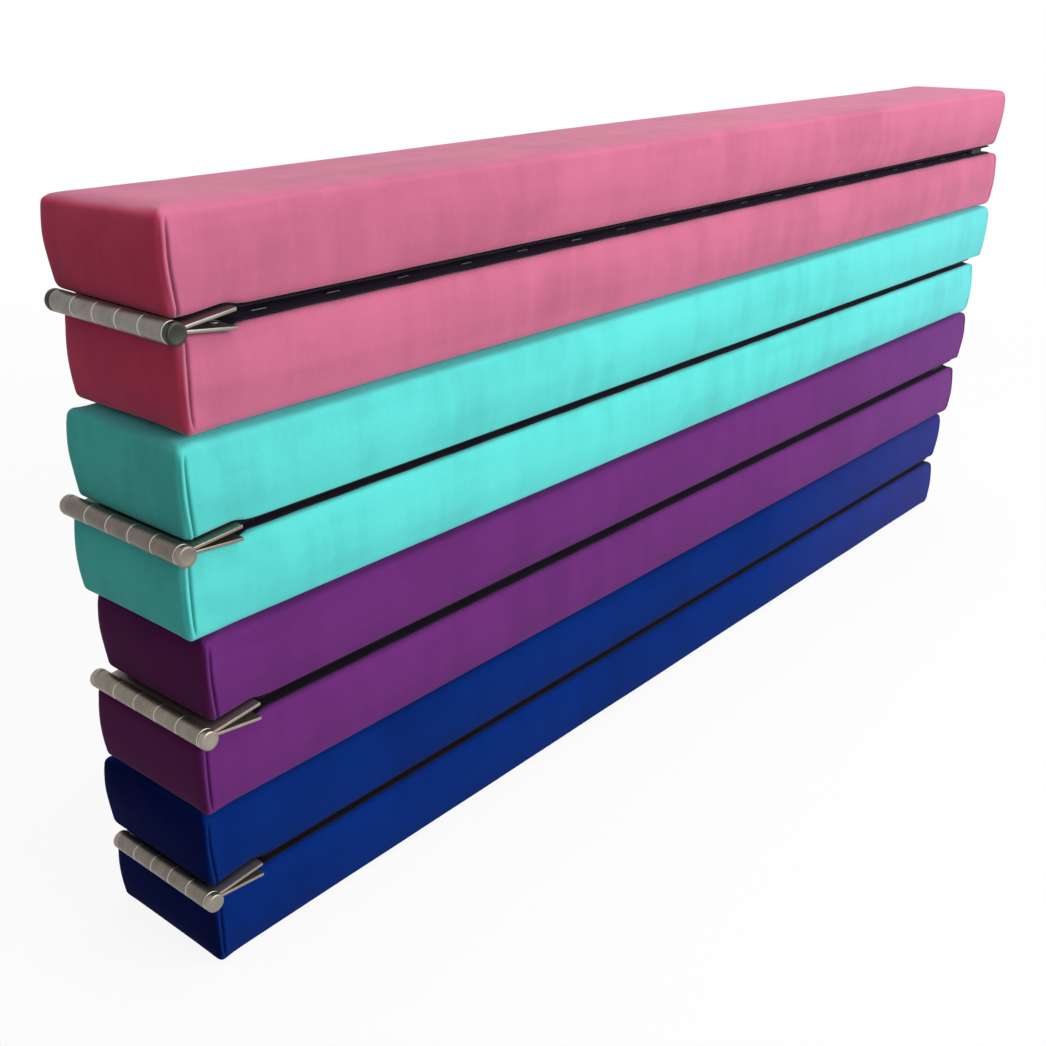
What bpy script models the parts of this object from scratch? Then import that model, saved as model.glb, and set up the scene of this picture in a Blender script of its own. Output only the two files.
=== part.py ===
"""Stack of four folding floor balance beams, each folded sole to sole on its end hinge.

X runs along the beams with the hinges at the low end, Y across them with the side that
faces a viewer low, and Z up. The origin is the middle of the face that rests on the floor.
"""
import math
from collections import namedtuple

import bmesh
import bpy
from mathutils import Matrix

# One padded half of a beam
HALF_LENGTH = 1.050
BEAM_WIDTH = 0.105
HALF_THICKNESS = 0.0545
PLAY_CROWN = 0.0016
PLAY_REST_FLAT = 0.0005
CROWN_FADE = 0.050
CROWN_LEFT_AT_ENDS = 0.3
SIDE_CROWN = 0.0010
SIDE_DRAW_IN = 0.0015
END_DRAW_IN = 0.0040
EDGE_RADIUS = 0.0050
EDGE_SEGMENTS = 4
SEAM_PROUD = 0.0011

# What is inside the cover
COVER_WALL = 0.0022
HEM_REACH = 0.012
BOARD_THICKNESS = 0.030
FOAM_SIDE = 0.008
SOLE_CLOTH = 0.0008
SOLE_INSET = 0.004
SOLE_CORNER = 0.006

# Rubber foot at the far end of each sole
FOOT_LENGTH = 0.026
FOOT_WIDTH = 0.082
FOOT_END_INSET = 0.014
FOOT_CORNER = 0.004

# Butt hinge across the near end
STACK_AXIS_X = -0.5275
HINGE_WIDTH = 0.100
HINGE_SHIFT = 0.0025
KNUCKLE_RADIUS = 0.0070
KNUCKLE_COUNT = 5
KNUCKLE_GAP = 0.0005
LEAF_THICKNESS = 0.0015
LEAF_REACH = 0.040
LEAF_BEND_START = 0.0080
LEAF_BEND_END = 0.028
PIN_RADIUS = 0.0030
CAP_LENGTH = 0.0045
CAP_CHAMFER = 0.0009

# Wood screws that hold a leaf to its board
SCREW_COUNT = 3
SCREW_SPACING = 0.034
SCREW_ROW = 0.0335
SCREW_STAGGER = 0.0012
SCREW_SHANK_RADIUS = 0.0017
SCREW_GRIP = 0.014
SCREW_HEAD_RADIUS = 0.0040
SCREW_HEAD_DEPTH = 0.00025
SCREW_SLOT_LENGTH = 0.0046
SCREW_SLOT_WIDTH = 0.0010
SCREW_SLOT_DEPTH = 0.0008

# Clearances
SEAT_GAP = 0.0003
RUNNING_GAP = 0.0003

# Facets round each kind of circle, and how far a cutter runs past what it cuts
ROUND_STEPS = 24
BORE_STEPS = 12
SCREW_STEPS = 6
OVERCUT = 0.002

# Each folded beam from the floor up: the gap between its soles, where it lies on the stack,
# and how far the padded ends of its lower and upper half stand back from the hinge axis
Beam = namedtuple("Beam", "name sole_gap along across setbacks colour")
BEAMS = (
    Beam("blue", 0.0045, 0.0, 0.0, (0.0025, 0.0014), (0.004, 0.030, 0.230)),
    Beam("purple", 0.0063, 0.0038, -0.0053, (0.0008, 0.0062), (0.180, 0.022, 0.215)),
    Beam("turquoise", 0.0040, -0.0004, -0.0080, (0.0016, 0.0048), (0.110, 0.700, 0.620)),
    Beam("pink", 0.0063, 0.0068, -0.0078, (0.0040, 0.0008), (0.600, 0.140, 0.260)),
)

HALF_WIDTH = BEAM_WIDTH / 2
SOLE_HALF_WIDTH = HALF_WIDTH - SIDE_DRAW_IN
HEM_BOTTOM = SOLE_CLOTH + SEAT_GAP
HEM_TOP = HEM_BOTTOM + COVER_WALL
PLAY_EDGE = HALF_THICKNESS - (PLAY_CROWN - PLAY_REST_FLAT)
CAVITY_TOP = PLAY_EDGE - COVER_WALL
CAVITY_HALF_WIDTH = SOLE_HALF_WIDTH - COVER_WALL
CORE_BOTTOM = HEM_TOP + SEAT_GAP
BORE_RADIUS = PIN_RADIUS + RUNNING_GAP
KNUCKLE_PITCH = HINGE_WIDTH / KNUCKLE_COUNT
PLATE_ROOT = (PIN_RADIUS + KNUCKLE_RADIUS) / 2


def clear_scene():
    for item in list(bpy.data.objects):
        bpy.data.objects.remove(item)


def make_collection(name):
    collection = bpy.data.collections.new(name)
    bpy.context.scene.collection.children.link(collection)
    return collection


def make_material(name, colour, roughness, metallic=0.0):
    material = bpy.data.materials.new(name)
    material.use_nodes = True
    shader = material.node_tree.nodes["Principled BSDF"]
    shader.inputs["Base Color"].default_value = (*colour, 1.0)
    shader.inputs["Roughness"].default_value = roughness
    shader.inputs["Metallic"].default_value = metallic
    material.diffuse_color = (*colour, 1.0)
    return material


def make_empty(name, place, parent=None, turned=False):
    empty = bpy.data.objects.new(name, None)
    empty.empty_display_size = 0.03
    PARTS.objects.link(empty)
    empty.parent = parent
    empty.location = place
    if turned:
        empty.rotation_euler = (math.pi, 0.0, 0.0)
    return empty


def object_from(name, mesh_builder, parent, material, smooth_angle=0.6):
    mesh = bpy.data.meshes.new(name)
    mesh_builder.to_mesh(mesh)
    mesh_builder.free()
    piece = bpy.data.objects.new(name, mesh)
    PARTS.objects.link(piece)
    piece.parent = parent
    mesh.materials.append(material)
    mesh.shade_smooth()
    mesh.set_sharp_from_angle(angle=smooth_angle)
    return piece


def cutter_from(name, mesh_builder, parent):
    mesh = bpy.data.meshes.new(name)
    mesh_builder.to_mesh(mesh)
    mesh_builder.free()
    cutter = bpy.data.objects.new(name, mesh)
    CUTTERS.objects.link(cutter)
    cutter.parent = parent
    cutter.hide_render = True
    cutter.display_type = "WIRE"
    return cutter


def apply_boolean(piece, cutter, operation="DIFFERENCE"):
    modifier = piece.modifiers.new(f"{operation}_{cutter.name}", "BOOLEAN")
    modifier.object = cutter
    modifier.operation = operation
    modifier.solver = "EXACT"


def add_box(builder, low, high):
    size = [top - bottom for bottom, top in zip(low, high)]
    middle = [(top + bottom) / 2 for bottom, top in zip(low, high)]
    matrix = Matrix.Translation(middle) @ Matrix.Diagonal((*size, 1.0))
    return bmesh.ops.create_cube(builder, size=1.0, matrix=matrix)["verts"]


def box(low, high):
    builder = bmesh.new()
    add_box(builder, low, high)
    return builder


def add_rod(builder, radius, length, centre, along, steps):
    turn = Matrix.Rotation(math.pi / 2, 4, "X") if along == "Y" else Matrix.Identity(4)
    bmesh.ops.create_cone(
        builder,
        cap_ends=True,
        segments=steps,
        radius1=radius,
        radius2=radius,
        depth=length,
        matrix=Matrix.Translation(centre) @ turn,
    )


def round_upright_edges(builder, radius, segments):
    upright = [edge for edge in builder.edges
               if abs(edge.verts[0].co.x - edge.verts[1].co.x) < 1e-6
               and abs(edge.verts[0].co.y - edge.verts[1].co.y) < 1e-6]
    bmesh.ops.bevel(builder, geom=upright, offset=radius, segments=segments, profile=0.5, affect="EDGES")


def cut_across(builder, axis, place):
    normal = [1.0 if name == axis else 0.0 for name in "xyz"]
    point = [place * part for part in normal]
    everything = builder.verts[:] + builder.edges[:] + builder.faces[:]
    bmesh.ops.bisect_plane(builder, geom=everything, plane_co=point, plane_no=normal, dist=1e-6)


def screw_places():
    for index in range(SCREW_COUNT):
        across = (index - (SCREW_COUNT - 1) / 2) * SCREW_SPACING
        stagger = SCREW_STAGGER if index % 2 == 0 else -SCREW_STAGGER
        yield SCREW_ROW + stagger, across


def crown_at(along, y, rests):
    """Height of the play face over its own edge, along and y counted from its middle."""
    from_end = HALF_LENGTH / 2 - abs(along)
    fade = min(1.0, CROWN_LEFT_AT_ENDS + (1.0 - CROWN_LEFT_AT_ENDS) * from_end / CROWN_FADE)
    across = 1.0 - (y / HALF_WIDTH) ** 2
    height = PLAY_CROWN * fade * across
    return min(height, PLAY_CROWN - PLAY_REST_FLAT) if rests else height


def near_face(distance):
    """1 on a side or end face, falling to 0 where its rounded edge ends."""
    return max(0.0, 1.0 - distance / EDGE_RADIUS)


def end_draw_in(along, z, sole):
    """How much further in than the play edge an end of the half lies at this height."""
    below_play_face = max(0.0, 1.0 - (z - sole) / HALF_THICKNESS)
    from_end = HALF_LENGTH / 2 - abs(along)
    near_end = max(0.0, 1.0 - from_end / CROWN_FADE)
    return END_DRAW_IN * below_play_face ** 2 * near_end


def draw_in_ends(builder, setback, sole):
    for vert in builder.verts:
        along = vert.co.x - setback - HALF_LENGTH / 2
        vert.co.x -= math.copysign(end_draw_in(along, vert.co.z, sole), along)
    return builder


def padded_form(gap, setback, rests):
    """Outer shape of a cover: crowned play face, drawn-in sides, soft edges, raised corner seams."""
    sole = gap / 2
    mid_x = setback + HALF_LENGTH / 2
    low = (setback, -HALF_WIDTH, sole + HEM_BOTTOM)
    high = (setback + HALF_LENGTH, HALF_WIDTH, sole + PLAY_EDGE)
    builder = box(low, high)
    bmesh.ops.bevel(builder, geom=builder.edges[:], offset=EDGE_RADIUS, segments=EDGE_SEGMENTS,
                    profile=0.5, affect="EDGES")
    for from_middle in (CROWN_FADE - HALF_LENGTH / 2, -HALF_LENGTH / 4, 0.0,
                        HALF_LENGTH / 4, HALF_LENGTH / 2 - CROWN_FADE):
        cut_across(builder, "x", mid_x + from_middle)
    flat_half_width = HALF_WIDTH * math.sqrt(PLAY_REST_FLAT / PLAY_CROWN)
    for from_middle in (-flat_half_width, 0.0, flat_half_width):
        cut_across(builder, "y", from_middle)
    middle = (low[2] + high[2]) / 2
    cut_across(builder, "z", middle)
    cut_across(builder, "z", (low[2] + middle) / 2)
    half_height = (high[2] - low[2]) / 2
    for vert in builder.verts:
        x, y, z = vert.co
        level = (z - middle) / half_height
        along = x - mid_x
        from_end = HALF_LENGTH / 2 - abs(along)
        from_side = HALF_WIDTH - abs(y)
        end_sign = math.copysign(1.0, along)
        side_sign = math.copysign(1.0, y)
        bulge = SIDE_CROWN * max(0.0, 1.0 - level * level)
        vert.co.y += side_sign * bulge * near_face(from_side)
        vert.co.y -= y / HALF_WIDTH * SIDE_DRAW_IN * (1.0 - level) / 2
        vert.co.x += end_sign * bulge * near_face(from_end) * (1.0 - (y / HALF_WIDTH) ** 2)
        vert.co.x -= end_sign * end_draw_in(along, z, sole)
        if level > 0.0:
            vert.co.z += level ** 4 * crown_at(along, y, rests)
        if abs(from_end - from_side) < 1e-5 and from_end < EDGE_RADIUS / 2:
            vert.co.x += end_sign * SEAM_PROUD / math.sqrt(2)
            vert.co.y += side_sign * SEAM_PROUD / math.sqrt(2)
    return builder


def add_cover(name, gap, setback, rests, parent, material):
    """Suede cover: a sleeve closed on five sides, its hem turned under the board."""
    cover = object_from(name, padded_form(gap, setback, rests), parent, material)
    sole = gap / 2
    far = setback + HALF_LENGTH
    room = box(
        (setback + COVER_WALL, -CAVITY_HALF_WIDTH, sole + HEM_TOP),
        (far - COVER_WALL, CAVITY_HALF_WIDTH, sole + CAVITY_TOP),
    )
    apply_boolean(cover, cutter_from(f"{name}_room", draw_in_ends(room, setback, sole), parent))
    window = box(
        (setback + HEM_REACH, HEM_REACH - HALF_WIDTH, sole + HEM_BOTTOM - OVERCUT),
        (far - HEM_REACH, HALF_WIDTH - HEM_REACH, sole + HEM_TOP + OVERCUT),
    )
    apply_boolean(cover, cutter_from(f"{name}_window", window, parent))
    return cover


def add_core(name, gap, setback, shift, parent, foam_material, board_material):
    """Foam tray that fills the cover, and the wooden board that fills the tray."""
    sole = gap / 2
    foam_low = setback + COVER_WALL + SEAT_GAP
    foam_high = setback + HALF_LENGTH - COVER_WALL - SEAT_GAP
    foam_side = CAVITY_HALF_WIDTH - SEAT_GAP
    block = box(
        (foam_low, -foam_side, sole + CORE_BOTTOM),
        (foam_high, foam_side, sole + CAVITY_TOP - SEAT_GAP),
    )
    foam = object_from(f"{name}_foam", draw_in_ends(block, setback, sole), parent, foam_material)
    board_side = foam_side - FOAM_SIDE
    tray = box(
        (foam_low + FOAM_SIDE, -board_side, sole + CORE_BOTTOM - OVERCUT),
        (foam_high - FOAM_SIDE, board_side, sole + CORE_BOTTOM + BOARD_THICKNESS),
    )
    apply_boolean(foam, cutter_from(f"{name}_tray", tray, parent))
    board_top = sole + CORE_BOTTOM + BOARD_THICKNESS - SEAT_GAP
    plank = box(
        (foam_low + FOAM_SIDE + SEAT_GAP, SEAT_GAP - board_side, sole + CORE_BOTTOM),
        (foam_high - FOAM_SIDE - SEAT_GAP, board_side - SEAT_GAP, board_top),
    )
    board = object_from(f"{name}_board", plank, parent, board_material)
    depth = SCREW_GRIP + SEAT_GAP
    drill_screw_holes(board, shift, sole + CORE_BOTTOM - OVERCUT, sole + CORE_BOTTOM + depth)


def drill_screw_holes(piece, shift, low, high):
    builder = bmesh.new()
    for along, across in screw_places():
        centre = (along, across + shift, (low + high) / 2)
        add_rod(builder, SCREW_SHANK_RADIUS + SEAT_GAP, high - low, centre, "Z", SCREW_STEPS)
    apply_boolean(piece, cutter_from(f"{piece.name}_drill", builder, piece.parent))


def add_sole(name, gap, setback, shift, parent, material):
    """Black cloth over the board and the hem."""
    sole = gap / 2
    end_inset = END_DRAW_IN + SOLE_INSET
    cloth = box(
        (setback + end_inset, SOLE_INSET - SOLE_HALF_WIDTH, sole),
        (setback + HALF_LENGTH - end_inset, SOLE_HALF_WIDTH - SOLE_INSET, sole + SOLE_CLOTH),
    )
    round_upright_edges(cloth, SOLE_CORNER, 2)
    piece = object_from(f"{name}_sole", cloth, parent, material)
    drill_screw_holes(piece, shift, sole - OVERCUT, sole + SOLE_CLOTH + OVERCUT)


def add_foot(name, gap, far_end, parent, material):
    """Rubber foot on the sole; two of them meet between the folded halves."""
    top = gap / 2 - SEAT_GAP
    far = far_end - FOOT_END_INSET
    pad = box(
        (far - FOOT_LENGTH, -FOOT_WIDTH / 2, SEAT_GAP / 2),
        (far, FOOT_WIDTH / 2, top),
    )
    round_upright_edges(pad, FOOT_CORNER, 2)
    object_from(f"{name}_foot", pad, parent, material)


def leaf_plate(gap):
    """Plate of a leaf from its edge outline: level at the knuckles, bent out to lie on the sole."""
    seat = gap / 2 - SEAT_GAP
    inner = RUNNING_GAP / 2
    outline = (
        (PLATE_ROOT, inner),
        (LEAF_BEND_START, inner),
        (LEAF_BEND_END, seat - LEAF_THICKNESS),
        (LEAF_REACH, seat - LEAF_THICKNESS),
        (LEAF_REACH, seat),
        (LEAF_BEND_END, seat),
        (LEAF_BEND_START, inner + LEAF_THICKNESS),
        (PLATE_ROOT, inner + LEAF_THICKNESS),
    )
    curve = bpy.data.curves.new("leaf_outline", "CURVE")
    curve.dimensions = "2D"
    curve.fill_mode = "BOTH"
    curve.extrude = HINGE_WIDTH / 2
    spline = curve.splines.new("POLY")
    spline.points.add(len(outline) - 1)
    for point, (x, z) in zip(spline.points, outline):
        point.co = (x, z, 0.0, 1.0)
    spline.use_cyclic_u = True
    holder = bpy.data.objects.new("leaf_outline", curve)
    PARTS.objects.link(holder)
    bpy.context.view_layer.update()
    depsgraph = bpy.context.evaluated_depsgraph_get()
    mesh = bpy.data.meshes.new_from_object(holder.evaluated_get(depsgraph))
    bpy.data.objects.remove(holder)
    builder = bmesh.new()
    builder.from_mesh(mesh)
    bpy.data.meshes.remove(mesh)
    bmesh.ops.remove_doubles(builder, verts=builder.verts[:], dist=1e-5)
    bmesh.ops.rotate(builder, verts=builder.verts[:], matrix=Matrix.Rotation(math.pi / 2, 3, "X"))
    bmesh.ops.recalc_face_normals(builder, faces=builder.faces[:])
    return builder


def add_leaf(name, gap, owns_outer, shift, parent, material):
    """Hinge leaf: plate, its own knuckles, the bore, and the screws driven through it."""
    builder = leaf_plate(gap)
    bmesh.ops.translate(builder, verts=builder.verts[:], vec=(0.0, shift, 0.0))
    leaf = object_from(f"{name}_hinge_leaf", builder, parent, material)
    seat = gap / 2 - SEAT_GAP
    shanks = bmesh.new()
    for along, across in screw_places():
        tip = gap / 2 + CORE_BOTTOM + SCREW_GRIP
        root = seat - LEAF_THICKNESS / 2
        centre = (along, across + shift, (tip + root) / 2)
        add_rod(shanks, SCREW_SHANK_RADIUS, tip - root, centre, "Z", SCREW_STEPS)
    apply_boolean(leaf, cutter_from(f"{name}_shanks", shanks, parent), "UNION")
    barrel = bmesh.new()
    add_rod(barrel, KNUCKLE_RADIUS, HINGE_WIDTH, (0.0, shift, 0.0), "Y", ROUND_STEPS)
    apply_boolean(leaf, cutter_from(f"{name}_barrel", barrel, parent), "UNION")
    notches = bmesh.new()
    reach = KNUCKLE_RADIUS + KNUCKLE_GAP
    for index in range(KNUCKLE_COUNT):
        if (index % 2 == 0) == owns_outer:
            continue
        low = shift - HINGE_WIDTH / 2 + index * KNUCKLE_PITCH - KNUCKLE_GAP / 2
        high = low + KNUCKLE_PITCH + KNUCKLE_GAP
        low -= OVERCUT if index == 0 else 0.0
        high += OVERCUT if index == KNUCKLE_COUNT - 1 else 0.0
        add_box(notches, (-reach - OVERCUT, low, -reach - OVERCUT), (reach, high, reach + OVERCUT))
    apply_boolean(leaf, cutter_from(f"{name}_notches", notches, parent))
    bore = bmesh.new()
    add_rod(bore, BORE_RADIUS, HINGE_WIDTH + 2 * OVERCUT, (0.0, shift, 0.0), "Y", BORE_STEPS)
    apply_boolean(leaf, cutter_from(f"{name}_bore", bore, parent))
    heads = bmesh.new()
    face = seat - LEAF_THICKNESS
    for along, across in screw_places():
        centre = (along, across + shift, face - OVERCUT / 2 + SCREW_HEAD_DEPTH / 2)
        add_rod(heads, SCREW_HEAD_RADIUS, OVERCUT + SCREW_HEAD_DEPTH, centre, "Z", BORE_STEPS)
    apply_boolean(leaf, cutter_from(f"{name}_heads", heads, parent))
    for label, size_x, size_y in (("slot", SCREW_SLOT_LENGTH, SCREW_SLOT_WIDTH),
                                  ("cross", SCREW_SLOT_WIDTH, SCREW_SLOT_LENGTH)):
        slots = bmesh.new()
        for along, across in screw_places():
            add_box(slots,
                    (along - size_x / 2, across + shift - size_y / 2, face - OVERCUT),
                    (along + size_x / 2, across + shift + size_y / 2, face + SCREW_SLOT_DEPTH))
        apply_boolean(leaf, cutter_from(f"{name}_{label}", slots, parent))
    return leaf


def add_pin(name, parent, shift, material):
    """Hinge pin with a round button on each end, turned about its axis."""
    shoulder = HINGE_WIDTH / 2 + RUNNING_GAP
    tip = shoulder + CAP_LENGTH
    profile = (
        (0.0, tip),
        (KNUCKLE_RADIUS - CAP_CHAMFER, tip),
        (KNUCKLE_RADIUS, tip - CAP_CHAMFER),
        (KNUCKLE_RADIUS, shoulder),
        (PIN_RADIUS, shoulder),
        (PIN_RADIUS, -shoulder),
        (KNUCKLE_RADIUS, -shoulder),
        (KNUCKLE_RADIUS, CAP_CHAMFER - tip),
        (KNUCKLE_RADIUS - CAP_CHAMFER, -tip),
        (0.0, -tip),
    )
    builder = bmesh.new()
    verts = [builder.verts.new((radius, 0.0, height)) for radius, height in profile]
    for start, end in zip(verts, verts[1:]):
        builder.edges.new((start, end))
    pin = object_from(f"{name}_hinge_pin", builder, parent, material)
    screw = pin.modifiers.new("turned", "SCREW")
    screw.steps = ROUND_STEPS
    screw.render_steps = ROUND_STEPS
    screw.use_merge_vertices = True
    screw.merge_threshold = 0.0001
    pin.rotation_euler = (math.pi / 2, 0.0, 0.0)
    pin.location = (0.0, shift, 0.0)
    return pin


def add_half(name, beam, half, rests, empty):
    """One padded half: cover, foam, board, sole cloth, foot and hinge leaf."""
    owns_outer = half == "lower"
    shift = HINGE_SHIFT if owns_outer else -HINGE_SHIFT
    gap = beam.sole_gap
    setback = beam.setbacks[0 if owns_outer else 1]
    far_end = min(beam.setbacks) + HALF_LENGTH
    add_cover(f"{name}_cover", gap, setback, rests, empty, MATERIALS[beam.name])
    add_core(name, gap, setback, shift, empty, MATERIALS["foam"], MATERIALS["wood"])
    add_sole(name, gap, setback, shift, empty, MATERIALS["sole"])
    add_foot(name, gap, far_end, empty, MATERIALS["rubber"])
    add_leaf(name, gap, owns_outer, shift, empty, MATERIALS["nickel"])


def build():
    """Stack the folded beams from the floor up, each resting on the one below."""
    carrier = None
    carrier_place = (0.0, 0.0, 0.0)
    floor = 0.0
    for beam in BEAMS:
        axis_z = floor + HALF_THICKNESS + beam.sole_gap / 2
        place = (STACK_AXIS_X + beam.along, beam.across, axis_z)
        step = [here - there for here, there in zip(place, carrier_place)]
        lower = make_empty(f"{beam.name}_lower_axis", step, carrier, turned=True)
        upper = make_empty(f"{beam.name}_upper_axis", (0.0, 0.0, 0.0), lower, turned=True)
        add_half(f"{beam.name}_lower", beam, "lower", True, lower)
        add_half(f"{beam.name}_upper", beam, "upper", beam is not BEAMS[-1], upper)
        add_pin(beam.name, lower, HINGE_SHIFT, MATERIALS["nickel"])
        carrier = upper
        carrier_place = place
        floor += 2 * HALF_THICKNESS + beam.sole_gap + SEAT_GAP


clear_scene()
PARTS = make_collection("folding_balance_beam_stack")
CUTTERS = make_collection("cutters")
MATERIALS = {beam.name: make_material(f"{beam.name}_suede", beam.colour, 0.9) for beam in BEAMS}
MATERIALS["foam"] = make_material("foam", (0.75, 0.74, 0.70), 0.95)
MATERIALS["wood"] = make_material("pine_board", (0.55, 0.38, 0.21), 0.7)
MATERIALS["sole"] = make_material("black_cloth", (0.012, 0.012, 0.020), 0.9)
MATERIALS["rubber"] = make_material("rubber", (0.015, 0.015, 0.017), 0.75)
MATERIALS["nickel"] = make_material("brushed_nickel", (0.55, 0.51, 0.46), 0.32, 1.0)
build()
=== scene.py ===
# Four suede-covered folding balance beams, stacked: finishes, hinges, covers, soles, studio
import math

import bpy
import numpy as np
from mathutils import Euler, Matrix, Vector, noise


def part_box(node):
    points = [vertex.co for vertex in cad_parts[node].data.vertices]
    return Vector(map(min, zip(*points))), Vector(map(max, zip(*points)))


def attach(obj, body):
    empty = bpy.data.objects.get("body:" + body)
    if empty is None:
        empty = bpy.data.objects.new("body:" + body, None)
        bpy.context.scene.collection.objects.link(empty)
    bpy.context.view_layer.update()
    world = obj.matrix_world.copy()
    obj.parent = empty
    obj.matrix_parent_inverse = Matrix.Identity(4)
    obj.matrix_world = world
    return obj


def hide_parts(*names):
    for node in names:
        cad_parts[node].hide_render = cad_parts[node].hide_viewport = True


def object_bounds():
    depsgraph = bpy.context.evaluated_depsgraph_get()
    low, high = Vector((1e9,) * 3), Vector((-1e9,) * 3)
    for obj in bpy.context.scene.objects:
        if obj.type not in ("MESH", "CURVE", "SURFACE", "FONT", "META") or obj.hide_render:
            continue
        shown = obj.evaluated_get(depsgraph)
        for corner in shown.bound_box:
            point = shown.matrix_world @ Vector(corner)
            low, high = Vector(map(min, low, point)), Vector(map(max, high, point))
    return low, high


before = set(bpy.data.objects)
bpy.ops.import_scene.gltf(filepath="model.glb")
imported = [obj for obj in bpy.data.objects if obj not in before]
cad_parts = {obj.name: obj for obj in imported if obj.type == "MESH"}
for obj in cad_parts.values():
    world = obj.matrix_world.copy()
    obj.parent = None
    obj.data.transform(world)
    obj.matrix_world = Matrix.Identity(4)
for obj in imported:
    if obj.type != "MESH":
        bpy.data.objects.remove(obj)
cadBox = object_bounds()
bpy.ops.object.select_all(action="DESELECT")
print("frame loaded")

beams = ("blue", "purple", "turquoise", "pink")  # from the floor up
halves = ("lower", "upper")


def pick(piece):
    bpy.ops.object.select_all(action="DESELECT")
    piece.select_set(True)
    bpy.context.view_layer.objects.active = piece


def editOn(piece, kind="FACE"):
    pick(piece)
    bpy.ops.object.mode_set(mode="EDIT")
    bpy.ops.mesh.select_mode(type=kind)
    bpy.ops.mesh.select_all(action="DESELECT")


def editOff():
    bpy.ops.object.mode_set(mode="OBJECT")


def readVectors(items, fact):
    values = np.empty(len(items) * 3)
    items.foreach_get(fact, values)
    return values.reshape(-1, 3)


def readPoints(piece):
    return readVectors(piece.data.vertices, "co")


def readNormals(piece):
    return readVectors(piece.data.vertex_normals, "vector")


def writePoints(piece, points):
    piece.data.vertices.foreach_set("co", points.ravel())
    piece.data.update()


def writeAttribute(piece, name, values):
    layer = piece.data.attributes.new(name, "FLOAT", "POINT")
    layer.data.foreach_set("value", values.astype(np.float32))


def pickEdges(piece, wanted):  # selects edges in code, by the places of their two ends
    editOn(piece, "EDGE")
    editOff()
    ends = np.empty(len(piece.data.edges) * 2, dtype=int)
    piece.data.edges.foreach_get("vertices", ends)
    points = readPoints(piece)
    piece.data.edges.foreach_set("select", wanted(points[ends[0::2]].T, points[ends[1::2]].T))
    bpy.ops.object.mode_set(mode="EDIT")


def pickFaces(piece, wanted):  # selects faces by their middle and normal
    editOn(piece, "FACE")
    editOff()
    faces = piece.data.polygons
    middles, normals = readVectors(faces, "center"), readVectors(faces, "normal")
    faces.foreach_set("select", wanted(middles.T, normals.T))
    bpy.ops.object.mode_set(mode="EDIT")


def bevelEdges(piece, wanted, width, segments):
    pickEdges(piece, wanted)
    bpy.ops.mesh.bevel(offset=width, segments=segments)
    editOff()


def cutEdges(piece, wanted, cuts):
    pickEdges(piece, wanted)
    bpy.ops.mesh.subdivide(number_cuts=cuts)
    editOff()


def cutAcross(piece, where, way):  # new edges where a plane meets the piece
    editOn(piece)
    bpy.ops.mesh.select_all(action="SELECT")
    bpy.ops.mesh.bisect(plane_co=where, plane_no=way)
    editOff()


def sinkFaces(piece, wanted, rim, move):
    pickFaces(piece, wanted)
    bpy.ops.mesh.inset(thickness=rim)
    bpy.ops.transform.translate(value=move)
    editOff()


def addBlock(name, low, high):  # a cube primitive between two corners
    bpy.ops.object.select_all(action="DESELECT")
    middle = [(a + b) / 2 for a, b in zip(low, high)]
    size = [b - a for a, b in zip(low, high)]
    bpy.ops.mesh.primitive_cube_add(size=1, location=middle, scale=size)
    piece = bpy.context.object
    piece.name = piece.data.name = name
    bpy.ops.object.transform_apply(location=True, rotation=True, scale=True)
    return piece


def copyPiece(piece, name):
    copied = piece.copy()
    copied.data = piece.data.copy()
    copied.name = copied.data.name = name
    bpy.context.scene.collection.objects.link(copied)
    return copied


def joinParts(parts):
    bpy.ops.object.select_all(action="DESELECT")
    for part in parts:
        part.select_set(True)
    bpy.context.view_layer.objects.active = parts[0]
    bpy.ops.object.join()
    return parts[0]


def applyModifier(piece, kind, **settings):
    pick(piece)
    modifier = piece.modifiers.new(kind.title(), kind)
    for name, value in settings.items():
        setattr(modifier, name, value)
    bpy.ops.object.modifier_apply(modifier=modifier.name)


def smooth(piece, angle):
    pick(piece)
    bpy.ops.object.shade_smooth_by_angle(angle=math.radians(angle))


def rise(value, low, high):  # 0 below low, 1 above high, smooth between
    share = np.clip((value - low) / (high - low), 0, 1)
    return share * share * (3 - 2 * share)


def ridge(away, width):  # 1 on a line, and soon 0 beside it
    return np.exp(-(away / width) ** 2)


def lumps(points, size, offset):  # slow noise over a piece, the same at each run
    shift = Vector((offset * 7.3, offset * 3.1, offset * 5.7))
    return np.array([noise.noise(Vector(point) / size + shift) for point in points])


class Wire:  # a socket that can be added to, multiplied and taken away
    def __init__(self, finish, socket):
        self.finish = finish
        self.socket = socket

    def maths(self, operation, *values):
        settings = {"operation": operation}
        return self.finish.node("ShaderNodeMath", settings, dict(enumerate(values)))

    def __add__(self, other):
        return self.maths("ADD", self, other)

    def __sub__(self, other):
        return self.maths("SUBTRACT", self, other)

    def __mul__(self, other):
        return self.maths("MULTIPLY", self, other)

    def __rsub__(self, other):
        return self.maths("SUBTRACT", other, self)

    __radd__ = __add__


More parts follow.
